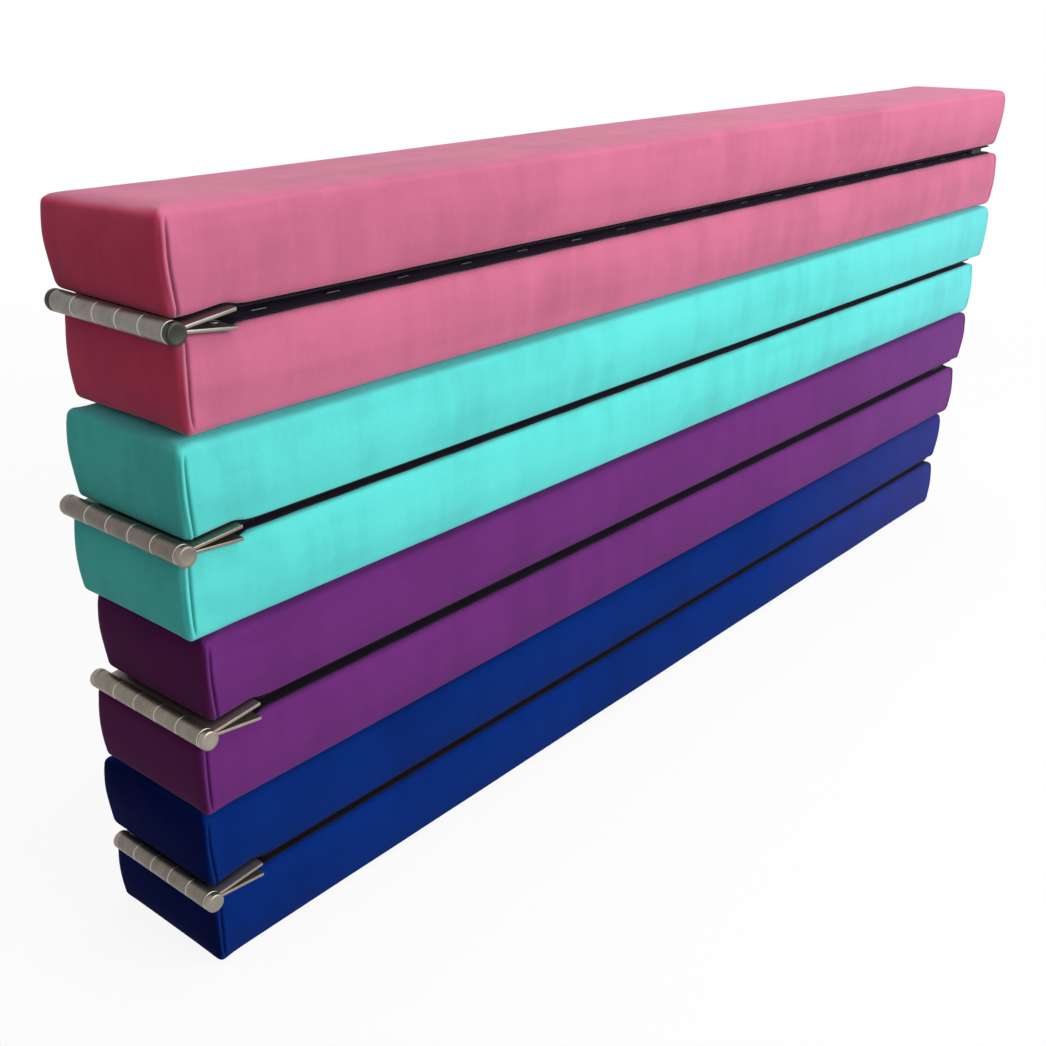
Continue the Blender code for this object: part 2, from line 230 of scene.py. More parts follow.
class Finish:  # a material and the one way its nodes are added
    def __init__(self, name, **constants):
        self.material = bpy.data.materials.new(name)
        self.material.use_nodes = True
        self.tree = self.material.node_tree
        self.shader = self.tree.nodes["Principled BSDF"]
        for socket, value in constants.items():
            self.shader.inputs[socket.replace("_", " ")].default_value = value
        self.place = self.node("ShaderNodeTexCoord", output="Object")

    def node(self, kind, settings=None, sockets=None, output=0):
        made = self.tree.nodes.new(kind)
        for name, value in (settings or {}).items():
            setattr(made, name, value)
        for key, value in (sockets or {}).items():
            if isinstance(value, Wire):
                self.tree.links.new(value.socket, made.inputs[key])
            else:
                made.inputs[key].default_value = value
        return Wire(self, made.outputs[output])

    def feed(self, socket, wire):
        self.tree.links.new(wire.socket, self.shader.inputs[socket])

    def stretched(self, scale):  # object coordinates, drawn out along an axis with a small scale
        return self.node("ShaderNodeMapping", None, {"Vector": self.place, "Scale": scale})

    def cloudy(self, size, detail=2.0, scale=(1, 1, 1), rough=0.5, bend=0.0):
        return self.node("ShaderNodeTexNoise", None, {
            "Vector": self.stretched(scale), "Scale": 1 / size, "Detail": detail,
            "Roughness": rough, "Distortion": bend})

    def wave(self, kind, axis, place, sockets):
        settings = {"wave_type": kind, f"{kind.lower()}_direction": axis}
        return self.node("ShaderNodeTexWave", settings, {"Vector": place, **sockets}, output="Fac")

    def between(self, wire, low, high):
        return self.node("ShaderNodeMapRange", {"clamp": True}, {
            "Value": wire, "From Min": low, "From Max": high, "To Min": 0.0, "To Max": 1.0})

    def mixed(self, share, first, second, blend="MIX"):  # colours
        return self.node("ShaderNodeMix", {"data_type": "RGBA", "blend_type": blend}, {
            0: share, 6: first, 7: second}, output=2)

    def attribute(self, name):
        return self.node("ShaderNodeAttribute", {"attribute_name": name}, None, output="Fac")

    def bump(self, height, strength, distance):
        return self.node("ShaderNodeBump", None, {
            "Strength": strength, "Distance": distance, "Height": height})


def weighed(wires, shares):  # their sum, each times its share
    total = wires[0] * shares[0]
    for wire, share in zip(wires[1:], shares[1:]):
        total = total + wire * share
    return total


suedeDyesAndPaintedLight = {  # side: the long faces' colour, paler with painted sheen; end: the ends' colour, painted darker and more saturated as the ends look in shade
    "blue": {"side": (0.0010, 0.0210, 0.166, 1), "end": (0.0004, 0.0052, 0.074, 1),
             "gloss": 0.05, "sheen": 0.045, "paintedSheen": 0.0008, "paintedFarSheen": 0.085},
    "purple": {"side": (0.130, 0.0185, 0.160, 1), "end": (0.0890, 0.0040, 0.0700, 1),
               "gloss": 0.15, "sheen": 0.12, "paintedSheen": 0.004, "paintedFarSheen": 0.065},
    "turquoise": {"side": (0.100, 0.655, 0.617, 1), "end": (0.088, 0.665, 0.615, 1),
                  "gloss": 0.15, "sheen": 0.32, "paintedSheen": 0.010, "paintedFarSheen": 0.11},
    "pink": {"side": (0.552, 0.137, 0.244, 1), "end": (0.684, 0.0530, 0.132, 1),
             "gloss": 0.15, "sheen": 0.36, "paintedSheen": 0.010, "paintedFarSheen": 0.02},
}

suedeLook = {
    "patches": {"size": 0.085, "detail": 3, "bend": 0.6},
    "strokesUp": {"size": 0.022, "detail": 3, "scale": (1, 1, 0.10), "rough": 0.6},
    "strokesAlong": {"size": 0.022, "detail": 3, "scale": (0.06, 1, 1), "rough": 0.6},
    "grain": {"size": 0.0035},
    "fibre": {"size": 0.0009, "detail": 3},
    "smudge": {"size": 0.045, "bend": 2.2},
    "nap": (0.42, 0.32, 0.26),  # shares of patches, strokes up and strokes along
    "napSpan": (0.32, 0.68),
    "smudgeSpan": (0.58, 0.76),
    "lift": (0.60, 0.20, 0.12, 0.55),  # shares of nap, smudges, grain, and of worn edges with the painted highlight on the seam's lip
    "liftedNap": (0.5, 0.95),
    "liftedGrain": (0.3, 0.7),
    "pressed": 0.80,  # the nap's shade where it lies down, against the dye
    "pressedNap": (0.05, 0.55),
    "raised": 0.12,
    "fibreSpan": (0.62, 0.40),
    "fibreDark": 0.04,
    "grooveShade": 0.50,
    "paintedFarSheenFrom": (0.12, 0.56),  # painted sheen: paler and bluer towards the far end
    "paintedFarSheenTone": (0.32, 0.20, 0.62, 1),
    "sheenRoughness": 0.45,
    "sheenPale": 0.45,
    "roughness": (0.90, 0.08),  # its least, and how much the nap adds
    "height": (0.55, 0.30, 0.15),  # shares of fibre, grain and strokes up
    "bump": (0.30, 0.0004),
}


def suedeFinish(name):
    suedeColour, look = suedeDyesAndPaintedLight[name], suedeLook
    pale = look["sheenPale"]
    finish = Finish(f"{name}Suede", Roughness=0.95, Specular_IOR_Level=suedeColour["gloss"],
                    Sheen_Weight=suedeColour["sheen"], Sheen_Roughness=look["sheenRoughness"],
                    Sheen_Tint=tuple(pale + (1 - pale) * part for part in suedeColour["side"]))
    patches, strokesUp, strokesAlong, grain, fibre, smudge = (
        finish.cloudy(**look[kind])
        for kind in ("patches", "strokesUp", "strokesAlong", "grain", "fibre", "smudge"))
    nap = weighed((patches, strokesUp, strokesAlong), look["nap"])
    nap = finish.between(nap, *look["napSpan"])
    lift = weighed((finish.between(nap, *look["liftedNap"]),
                    finish.between(smudge, *look["smudgeSpan"]),
                    finish.between(grain, *look["liftedGrain"]),
                    finish.attribute("edgeWearAndLipHighlight")), look["lift"])
    shade = (look["pressed"] + finish.between(nap, *look["pressedNap"]) * (1 - look["pressed"])
             + lift * look["raised"]
             - finish.between(fibre, *look["fibreSpan"]) * look["fibreDark"])
    # painted shade along the seam's groove
    shade = shade * (1 - finish.attribute("seamGrooveShade") * look["grooveShade"])
    # the ends take their painted-shade colour, the long faces their colour with painted sheen
    colourWithPaintedShade = finish.mixed(finish.attribute("endShadeMask"), suedeColour["side"], suedeColour["end"])
    tone = finish.mixed(1.0, colourWithPaintedShade, shade, "MULTIPLY")
    # painted sheen towards the far end, by the place along the half
    along = finish.node("ShaderNodeSeparateXYZ", None, {"Vector": finish.place}, output="X")
    paintedFarSheen = finish.between(along, *look["paintedFarSheenFrom"]) * suedeColour["paintedFarSheen"]
    tone = finish.mixed(paintedFarSheen, tone, look["paintedFarSheenTone"])
    # painted whitish sheen, added where the nap is raised and along the edges
    paintedSheen = 3 * (suedeColour["paintedSheen"],) + (1,)
    finish.feed("Base Color", finish.mixed(lift, tone, paintedSheen, "ADD"))
    rough, more = look["roughness"]
    finish.feed("Roughness", rough + nap * more)
    height = weighed((fibre, grain, strokesUp), look["height"])
    finish.feed("Normal", finish.bump(height, *look["bump"]))
    return finish.material


nickelShades = {  # the metal's darkest tone, and how much painted shade darkens its knuckles
    "blue": {"dark": (0.205, 0.180, 0.155), "knuckleShade": 0.38},
    "purple": {"dark": (0.215, 0.186, 0.156), "knuckleShade": 0.30},
    "turquoise": {"dark": (0.158, 0.137, 0.116), "knuckleShade": 0.32},
    "pink": {"dark": (0.160, 0.146, 0.133), "knuckleShade": 0.12},
    # painted shade: the pink pin's buttons are painted near black
    "pinkButton": {"dark": (0.030, 0.030, 0.025), "knuckleShade": 0.0},
}

nickelLook = {
    "rings": {"size": 0.0009, "detail": 3, "scale": (0.02, 1, 0.02), "rough": 0.65},
    "cloud": {"size": 0.011, "detail": 3, "bend": 0.4},
    "scratches": {"size": 0.0016, "scale": (1, 0.05, 1), "bend": 0.5},
    "scratchSpan": (0.66, 0.74),
    "light": 1.75,  # the lightest tone, against the darkest
    "stain": 0.72,
    "stainSpan": (0.45, 0.75),
    "stainShare": 0.45,
    # the painted glint's tone on the knuckles' edges
    "paintedGlint": (0.56, 0.52, 0.47, 1),
    "paintedGlintShare": 0.75,
    "roughness": (0.33, 0.16, 0.10),  # its least, and what cloud and scratches add
    "height": (0.7, 0.3),  # shares of rings and scratches
    "bump": (0.18, 0.00015),
}


def nickelFinish(name):
    shades, look = nickelShades[name], nickelLook
    dark, light, stain = (tuple(times * part for part in shades["dark"]) + (1,)
                          for times in (1, look["light"], look["stain"]))
    finish = Finish(f"{name}Nickel", Metallic=1.0)
    rings, cloud, scratches = (finish.cloudy(**look[kind])
                               for kind in ("rings", "cloud", "scratches"))
    scratches = finish.between(scratches, *look["scratchSpan"])
    tone = finish.mixed(rings, dark, light)  # brushed round the barrel
    stained = finish.between(cloud, *look["stainSpan"]) * look["stainShare"]
    tone = finish.mixed(stained, tone, stain)
    # painted shade on the knuckles, for the barrel's shaded underside
    knuckleShadeFactor = 1 - finish.attribute("rolled") * shades["knuckleShade"]
    tone = finish.mixed(1.0, tone, knuckleShadeFactor, "MULTIPLY")
    # painted glint on the knuckles' edges
    paintedGlint = finish.attribute("paintedGlint") * look["paintedGlintShare"]
    finish.feed("Base Color", finish.mixed(paintedGlint, tone, look["paintedGlint"]))
    rough, clouded, scratched = look["roughness"]
    finish.feed("Roughness", rough + cloud * clouded + scratches * scratched)
    height = weighed((rings, scratches), look["height"])
    finish.feed("Normal", finish.bump(height, *look["bump"]))
    return finish.material


# the staples' tone is painted dark, for the shade deep in the sole gap
steelLook = {"tone": (0.11, 0.108, 0.104, 1), "cloud": 0.004, "roughness": (0.42, 0.2)}


def steelFinish():
    finish = Finish("stapleSteel", Metallic=1.0, Base_Color=steelLook["tone"])
    rough, more = steelLook["roughness"]
    finish.feed("Roughness", rough + finish.cloudy(steelLook["cloud"]) * more)
    return finish.material


soleLook = {
    "gloss": 0.18,
    "sheen": 0.05,
    "sheenTint": (0.35, 0.20, 0.50, 1),
    "weave": {"Scale": 420.0, "Distortion": 0.4, "Detail": 1.0},
    "cloud": {"size": 0.05, "detail": 3},
    "lint": {"size": 0.0022, "scale": (0.3, 1, 1), "rough": 0.6, "bend": 1.5},
    "lintSpan": (0.70, 0.76),
    "dark": (0.0020, 0.0012, 0.0032, 1),
    "pale": (0.0048, 0.0032, 0.0075, 1),
    "crossing": (0.010, 0.007, 0.015, 1),
    "crossingShare": 0.35,
    "lintTone": (0.07, 0.065, 0.075, 1),
    "lintShare": 0.4,
    "roughness": (0.82, 0.12),
    "height": (0.5, 0.5),
    "bump": (0.35, 0.0002),
}


def soleFinish():
    look = soleLook
    finish = Finish("soleCloth", Specular_IOR_Level=look["gloss"], Sheen_Weight=look["sheen"],
                    Sheen_Tint=look["sheenTint"])
    along, across = (finish.wave("BANDS", axis, finish.place, look["weave"]) for axis in "XY")
    cloud = finish.cloudy(**look["cloud"])
    lint = finish.between(finish.cloudy(**look["lint"]), *look["lintSpan"])
    tone = finish.mixed(cloud, look["dark"], look["pale"])
    tone = finish.mixed(along * across * look["crossingShare"], tone, look["crossing"])
    tone = finish.mixed(lint * look["lintShare"], tone, look["lintTone"])
    finish.feed("Base Color", tone)
    rough, more = look["roughness"]
    finish.feed("Roughness", rough + cloud * more)
    height = weighed((along, across), look["height"])
    finish.feed("Normal", finish.bump(height, *look["bump"]))
    return finish.material


rubberLook = {
    "gloss": 0.4,
    "cloud": {"size": 0.012, "detail": 3},
    "grain": {"size": 0.0011},
    "dark": (0.010, 0.010, 0.011, 1),
    "pale": (0.024, 0.024, 0.026, 1),
    "roughness": (0.50, 0.25),
    "bump": (0.3, 0.0002),
}


def rubberFinish():
    look = rubberLook
    finish = Finish("footRubber", Specular_IOR_Level=look["gloss"])
    cloud, grain = finish.cloudy(**look["cloud"]), finish.cloudy(**look["grain"])
    finish.feed("Base Color", finish.mixed(cloud, look["dark"], look["pale"]))
    rough, more = look["roughness"]
    finish.feed("Roughness", rough + cloud * more)
    finish.feed("Normal", finish.bump(grain, *look["bump"]))
    return finish.material


pineLook = {
    "gloss": 0.3,
    "rings": {"Scale": 40.0, "Distortion": 6.0, "Detail": 2.0},
    "ringsDrawn": (0.06, 1, 1),
    "waver": {"size": 0.10, "scale": (0.15, 1, 1)},
    "pores": {"size": 0.0012, "scale": (0.05, 1, 1)},
    "poreSpan": (0.6, 0.75),
    "poreShare": 0.4,
    "early": (0.56, 0.37, 0.19, 1),
    "late": (0.36, 0.20, 0.085, 1),
    "pore": (0.22, 0.12, 0.05, 1),
    "lateOf": (0.6, 0.3),  # shares of rings and waver
    "roughness": (0.55, 0.25),
    "height": (0.4, 0.6),  # shares of rings and pores
    "bump": (0.2, 0.0002),
}


def pineFinish():
    look = pineLook
    finish = Finish("pineBoard", Specular_IOR_Level=look["gloss"])
    rings = finish.wave("RINGS", "X", finish.stretched(look["ringsDrawn"]), look["rings"])
    waver, pores = finish.cloudy(**look["waver"]), finish.cloudy(**look["pores"])
    tone = finish.mixed(weighed((rings, waver), look["lateOf"]), look["early"], look["late"])
    poresSeen = finish.between(pores, *look["poreSpan"]) * look["poreShare"]
    finish.feed("Base Color", finish.mixed(poresSeen, tone, look["pore"]))
    rough, more = look["roughness"]
    finish.feed("Roughness", rough + pores * more)
    height = weighed((rings, pores), look["height"])
    finish.feed("Normal", finish.bump(height, *look["bump"]))
    return finish.material


foamLook = {
    "gloss": 0.2,
    "cells": 900.0,  # to the metre
    "cloud": {"size": 0.03},
    "dark": (0.70, 0.66, 0.55, 1),
    "pale": (0.80, 0.77, 0.68, 1),
    "roughness": (0.86, 0.12),
    "bump": (0.4, 0.0004),
}


def foamFinish():
    look = foamLook
    finish = Finish("creamFoam", Specular_IOR_Level=look["gloss"])
    cells = finish.node("ShaderNodeTexVoronoi", {"feature": "F1"}, {
        "Vector": finish.place, "Scale": look["cells"]}, output="Distance")
    tone = finish.mixed(finish.cloudy(**look["cloud"]), look["dark"], look["pale"])
    finish.feed("Base Color", tone)
    rough, more = look["roughness"]
    finish.feed("Roughness", rough + cells * more)
    finish.feed("Normal", finish.bump(cells, *look["bump"]))
    return finish.material


suedes = {name: suedeFinish(name) for name in beams}
nickels = {name: nickelFinish(name) for name in nickelShades}
steel, soleCloth = steelFinish(), soleFinish()
rubber, pine, foam = rubberFinish(), pineFinish(), foamFinish()
print("finishes made")

for nodeName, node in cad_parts.items():
    for ending, finish in (("foot", rubber), ("board", pine)):
        if nodeName.endswith(ending):
            for slot in node.material_slots:
                slot.material = finish


class Place:  # where one half's pieces go: its hinge axis, its middle and its sole
    def __init__(self, beam, half):
        pinLow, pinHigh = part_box(f"{beam}_hinge_pin")
        soleLow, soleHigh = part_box(f"{beam}_{half}_sole")
        coverLow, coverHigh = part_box(f"{beam}_{half}_cover")
        self.name = f"{beam}_{half}"
        self.beam = beam
        self.upper = half == "upper"
        self.axisX = (pinLow[0] + pinHigh[0]) / 2
        self.axisZ = (pinLow[2] + pinHigh[2]) / 2
        self.across = (coverLow[1] + coverHigh[1]) / 2
        self.length, self.width, self.height = (b - a for a, b in zip(coverLow, coverHigh))
        self.setback = coverLow[0] - self.axisX
        if self.upper:
            self.halfGap = soleLow[2] - self.axisZ
            self.lift = coverLow[2] - self.axisZ
        else:
            self.halfGap = self.axisZ - soleHigh[2]
            self.lift = self.axisZ - coverHigh[2]
        self.soleFrom, self.soleTo = soleLow[0] - self.axisX, soleHigh[0] - self.axisX
        self.soleHalf = (soleHigh[1] - soleLow[1]) / 2

    def matrix(self, x, z):  # from x along, y across, z into the half, counted from the axis
        turn = Matrix.Identity(4) if self.upper else Matrix.Rotation(math.pi, 4, "X")
        axis = Matrix.Translation((self.axisX, self.across, self.axisZ))
        return axis @ turn @ Matrix.Translation((x, 0, z))


def settle(piece, place, finish, stands, x=0.0, z=0.0, angle=50):
    piece.data.transform(place.matrix(x, z))
    piece.data.materials.clear()
    piece.data.materials.append(finish)
    smooth(piece, angle)
    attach(piece, place.name)
    if stands:
        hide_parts(stands)


leaf = {
    "inner": 0.00015,  # half of the slit between the two leaves at the barrel
    "thickness": 0.0020,
    "root": 0.0050,
    "bendAt": 0.0080,
    "reach": 0.040,
    "pastReach": 1.03,  # the rounded tip may go on a little
    "press": 0.0027,  # how deep the tip sinks into the padded sole
    "pressSpare": 0.0001,
    "pressFade": (0.0005, 0.0055),  # past the tip
    "near": -0.0543,  # the barrel's ends across the beam
    "far": {"blue": 0.0335, "purple": 0.0450, "turquoise": 0.0455, "pink": 0.0425},
    "radius": 0.0061,
    "knuckles": 5,
    "slit": 0.0001,
    "edge": 0.00035,
    "knuckleEdge": 0.0006,
    "paintedGlint": 0.8,  # the share of that edge with a painted glint
}


def leafFace(x, halfGap):  # how far from the middle plane a leaf's outer face lies
    root = leaf["inner"] + leaf["thickness"]
    share = (x - leaf["bendAt"]) / (leaf["reach"] - leaf["bendAt"])
    return root + np.clip(share, 0, leaf["pastReach"]) * (halfGap + leaf["press"] - root)


def leafPress(x, halfGap):  # how deep it presses into the sole there
    deep = np.maximum(leafFace(x, halfGap) + leaf["pressSpare"] - halfGap, 0)
    start, end = leaf["pressFade"]
    return deep * (1 - rise(x, leaf["reach"] + start, leaf["reach"] + end))


def barrelSpan(place):  # the same ends, as this half's own frame counts them
    near, far = leaf["near"], leaf["far"][place.beam]
    return (near, far) if place.upper else (-far, -near)


def addRod(radius, low, high, edge, vertices=48):  # across the beam, on the hinge's axis
    bpy.ops.object.select_all(action="DESELECT")
    bpy.ops.mesh.primitive_cylinder_add(
        vertices=vertices, radius=radius, depth=high - low,
        location=(0, (low + high) / 2, 0), rotation=(math.pi / 2, 0, 0))
    rod = bpy.context.object
    bpy.ops.object.transform_apply(location=True, rotation=True, scale=True)
    applyModifier(rod, "BEVEL", width=edge, segments=3, limit_method="ANGLE",
                  angle_limit=math.radians(50))
    return rod


def paintKnuckleLight(knuckle):  # painted shade all round, and a painted glint on its edges
    x, y, z = readPoints(knuckle).T
    edge = leaf["paintedGlint"] * leaf["knuckleEdge"]
    fromEnd = np.minimum(y - y.min(), y.max() - y)
    onEdge = (np.hypot(x, z) > leaf["radius"] - edge) & (fromEnd < edge)
    # painted glint on the knuckle's edges
    writeAttribute(knuckle, "paintedGlint", onEdge)
    # the whole knuckle takes the painted shade
    writeAttribute(knuckle, "rolled", np.ones(len(x)))


screw = {
    "radius": 0.0040,
    "height": 0.0008,
    "sides": 20,
    "rim": 0.0008,
    "sunk": 0.00025,
    "slot": (0.0044, 0.0009),
    "slotFrom": -0.002,
    "slotTo": -0.0001,
    "seat": 0.00005,  # how deep a head sits in the leaf
    "at": ((0.0347, -0.034), (0.0323, 0.0), (0.0347, 0.034)),
    "turn": (900, 50),  # each one was left at its own angle
}


def makeScrewHead():  # modelled once, with its crossed recess
    bpy.ops.object.select_all(action="DESELECT")
    bpy.ops.mesh.primitive_cylinder_add(vertices=screw["sides"], radius=screw["radius"],
                                        depth=screw["height"])
    head = bpy.context.object
    head.name = "screw_head"
    sinkFaces(head, lambda middle, normal: normal[2] < -0.9, screw["rim"], (0, 0, -screw["sunk"]))
    for long, wide in (screw["slot"], screw["slot"][::-1]):
        cutter = addBlock("slot", (-long / 2, -wide / 2, screw["slotFrom"]),
                          (long / 2, wide / 2, screw["slotTo"]))
        applyModifier(head, "BOOLEAN", object=cutter, operation="DIFFERENCE")
        bpy.data.objects.remove(cutter)
    return head


def makeLeaf(place, screwHead):
    low, high = barrelSpan(place)
    middle, top = (low + high) / 2, leaf["inner"] + leaf["thickness"]
    piece = addBlock(f"{place.name}_butt_leaf", (leaf["root"], low, leaf["inner"]),
                     (leaf["reach"], high, top))
    cutAcross(piece, (leaf["bendAt"], 0, 0), (1, 0, 0))
    applyModifier(piece, "BEVEL", width=leaf["edge"], segments=2, limit_method="ANGLE")
    parts = [piece]
    for along, across in screw["at"]:
        head = copyPiece(screwHead, "leaf_screw")
        turned = Matrix.Rotation(along * screw["turn"][0] + across * screw["turn"][1], 4, "Z")
        seat = Matrix.Translation((along, across + middle, leaf["inner"] - screw["seat"]))
        head.data.transform(seat @ turned)
        parts.append(head)
    for part in parts:  # the plate opens from the barrel towards the sole
        points = readPoints(part)
        points[:, 2] += leafFace(points[:, 0], place.halfGap) - top
        writePoints(part, points)
    pitch = (high - low) / leaf["knuckles"]
    for index in range(leaf["knuckles"]):
        if (index % 2 == 0) != place.upper:
            start = low + index * pitch
            knuckle = addRod(leaf["radius"], start + leaf["slit"] / 2,
                             start + pitch - leaf["slit"] / 2, leaf["knuckleEdge"])
            paintKnuckleLight(knuckle)
            parts.append(knuckle)
    settle(joinParts(parts), place, nickels[place.beam], f"{place.name}_hinge_leaf",
           angle=35)


pin = {
    "radius": 0.0030,
    "past": 0.0010,  # how far it goes on into its buttons
    "edge": 0.0002,
    "sides": 24,
    "button": 0.0045,
    "rim": 0.0010,
    "hollow": 0.0012,
    "sunk": 0.00025,
}


def makePin(place):  # its two buttons are riveted over the barrel's ends
    low, high = barrelSpan(place)
    rod = addRod(pin["radius"], low - pin["past"], high + pin["past"], pin["edge"], pin["sides"])
    parts = [rod]
    for start, end, outward in ((low - pin["button"], low - leaf["slit"] / 2, -1),
                                (high + leaf["slit"] / 2, high + pin["button"], 1)):
        button = addRod(leaf["radius"], start, end, pin["rim"])
        sinkFaces(button, lambda middle, normal: normal[1] * outward > 0.99,
                  pin["hollow"], (0, -outward * pin["sunk"], 0))
        parts.append(button)
    piece = joinParts(parts)
    piece.name = piece.data.name = f"{place.beam}_riveted_pin"
    # the pink pin's buttons take the near-black painted-shade tone
    metal = nickels.get(f"{place.beam}Button", nickels[place.beam])
    settle(piece, place, metal, f"{place.beam}_hinge_pin", angle=35)


cover = {
    "uprightEdge": 0.0046,  # rounding of the four upright corners
    "playEdge": 0.0048,
    "soleEdge": {"blue": 0.0048, "purple": 0.0036, "turquoise": 0.0030, "pink": 0.0050},
    "inset": 0.0014,  # how much smaller the form starts, before it swells
    "swell": 0.0014,  # most that the simulation may move a point
    "wall": 0.0012,
    "hem": 0.012,
    "hemEnd": 0.0135,
    "hemPinned": 0.0055,  # what lies below this is held while the cover swells
    "hemCut": 0.0065,  # a cut round the sides, just above that
    "hemFacing": -0.8,
    "hemBelow": 0.008,
    "tipFade": 0.005,
    "cuts": (  # axis, the shortest and longest edges along it, and their number of cuts
        (0, 0.5, 2.0, 70), (0, 0.015, 0.1, 2), (1, 0.05, 1.0, 7), (2, 0.02, 1.0, 4)),
}

form = {
    "endBulge": 0.0022,
    "endReach": 0.060,  # how far along the half an end's own shape fades out
    "endStart": 0.4,  # the share of the inset that the ends take back at once
    "bowEdge": 0.04,
    "bowPower": 0.8,
    "bowAcross": 0.40,
    "tuckTo": 0.6,  # the share of the height above which nothing is drawn in
    "farCrisp": 0.0010,  # the far end's play edge is drawn out square
    "crispUp": (0.80, 0.96),
    "crispEnd": (0.001, 0.012),
    "sideBulge": 0.0011,
    "sideTuck": 0.0012,
    "sideBand": (0.012, 0.002),
    "uneven": 0.00045,
    "unevenSize": 0.085,
    "unevenDrawn": (1, 1, 0.4),
    "unevenOut": 1.2,
    "unevenDown": 1.3,
    "unevenTo": 0.25,  # the share of the height up to which the sole's edge wanders
    "dipLength": 0.55,
    "pressUp": (0.003, 0.013),  # the heights between which the leaf's pressure fades
    "meetSoft": 0.0010,
    "barrel": 0.0068,  # the hinge's barrel presses this far round itself
}

swollenEnds = {  # at the hinge end, at the far end, and how far the sole is drawn in at each
    "blue_lower": (0.0016, 0.0012, 0.0002, 0.0014),
    "blue_upper": (0.0026, 0.0016, 0.0016, 0.0022),
    "purple_lower": (0.0060, 0.0010, 0.0002, 0.0014),
    "purple_upper": (0.0028, 0.0026, 0.0014, 0.0010),
    "turquoise_lower": (0.0036, 0.0016, 0.0002, 0.0014),
    "turquoise_upper": (0.0026, 0.0142, 0.0014, 0.0002),
    "pink_lower": (0.0012, 0.0044, 0.0002, 0.0004),
    "pink_upper": (0.0030, 0.0006, 0.0022, 0.0058),
}

meetAt = {  # where the two halves' ends touch when unfolded, from the axis to the lower half
    "blue": 0.0016, "purple": -0.0038, "turquoise": -0.0018, "pink": 0.0026}

playDip = {  # how far its away side has sunk, at the hinge and at the far end
    "pink_upper": (0.0040, 0.0018)}


def endSurface(up, across, swollen, tuck):  # how far past its plane an end stands, by height
    edge = form["bowEdge"]
    bow = np.sin(np.pi * np.clip(up * (1 - 2 * edge) + edge, 0, 1)) ** form["bowPower"]
    bow = bow * (1 - form["bowAcross"] * across ** 2)
    return swollen - form["endBulge"] * (1 - bow) - tuck * (1 - rise(up, 0.0, form["tuckTo"]))


def coverBlank(place):
    inset = cover["inset"]
    length, width, height = place.length, place.width, place.height
    top = height - inset
    piece = addBlock(f"{place.name}_suede_cover", (inset, inset - width / 2, 0),
                     (length - inset, width / 2 - inset, top))
    bevelEdges(piece, lambda a, b: abs(a[2] - b[2]) > 0.01, cover["uprightEdge"], 4)
    bevelEdges(piece, lambda a, b: np.minimum(a[2], b[2]) > top - 1e-5, cover["playEdge"], 4)
    bevelEdges(piece, lambda a, b: np.maximum(a[2], b[2]) < 1e-5, cover["soleEdge"][place.beam], 3)
    hem, hemEnd = cover["hem"], cover["hemEnd"]
    tip = leaf["reach"] - place.setback
    for x in (hemEnd, length - hemEnd):
        cutAcross(piece, (x, 0, 0), (1, 0, 0))
    for y in (hem - width / 2, width / 2 - hem):
        cutAcross(piece, (0, y, 0), (0, 1, 0))
    for x in (tip, tip + cover["tipFade"]):
        cutAcross(piece, (x, 0, 0), (1, 0, 0))
    cutAcross(piece, (0, 0, cover["hemCut"]), (0, 0, 1))
    for axis, least, most, cuts in cover["cuts"]:
        cutEdges(piece, lambda a, b: ((abs(a[axis] - b[axis]) > least)
                                      & (abs(a[axis] - b[axis]) < most)), cuts)
    return piece


def shapeCover(piece, place, offset):
    hingeEnd, farEnd, hingeTuck, farTuck = swollenEnds[place.name]
    points = readPoints(piece)
    x, y, z = points.T.copy()
    up = np.clip(z / place.height, 0, 1)
    across = 2 * y / place.width
    fromFar = place.length - x
    ends = ((x, -1, hingeEnd, hingeTuck), (fromFar, 1, farEnd, farTuck))
    for fromEnd, way, swollen, tuck in ends:
        near = 1 - rise(fromEnd, 0.0, form["endReach"])
        stands = endSurface(up, across, swollen, tuck) + cover["inset"] * form["endStart"]
        points[:, 0] += way * near * stands
    square = rise(up, *form["crispUp"]) * (1 - rise(fromFar, *form["crispEnd"]))
    points[:, 0] += square * form["farCrisp"]
    sideways = np.sign(y)
    inner, outer = (place.width / 2 - depth for depth in form["sideBand"])
    nearSide = rise(np.abs(y), inner, outer)
    points[:, 1] += sideways * nearSide * form["sideBulge"] * np.sin(np.pi * up) ** form["bowPower"]
    points[:, 1] -= across * form["sideTuck"] * (1 - rise(up, 0.0, form["tuckTo"]))
    drawn = points * form["unevenDrawn"]
    ragged = lumps(drawn, form["unevenSize"], offset) * form["uneven"]
    points[:, 1] += sideways * nearSide * ragged * form["unevenOut"]
    low = 1 - rise(up, 0.0, form["unevenTo"])
    points[:, 2] += ragged * low * nearSide * form["unevenDown"]
    dipNear, dipFar = playDip.get(place.name, (0, 0))
    dip = dipNear + (dipFar - dipNear) * rise(x, 0.0, form["dipLength"] * place.length)
    points[:, 2] -= dip * up * (0.5 + across / 2)
    pressed = leafPress(x + place.setback, place.halfGap)
    points[:, 2] += pressed * (1 - rise(z, *form["pressUp"]))
    writePoints(piece, clearBarrel(points, place))


def clearBarrel(points, place):  # the end gives way round the barrel
    fromAxis = points[:, 0] + place.setback
    above = np.minimum(points[:, 2] + place.lift, form["barrel"])
    rim = np.sqrt(form["barrel"] ** 2 - above ** 2)
    touched = (fromAxis < rim) & (above < form["barrel"])
    points[touched, 0] = rim[touched] - place.setback
    return points


def flattenEnd(points, place):  # no end stands past the plane where it meets the other
    limit = meetAt[place.beam] * (-1 if place.upper else 1)
    past = points[:, 0] + place.setback - limit
    points[:, 0] += (np.sqrt(past ** 2 + form["meetSoft"] ** 2) - past) / 2
    return points


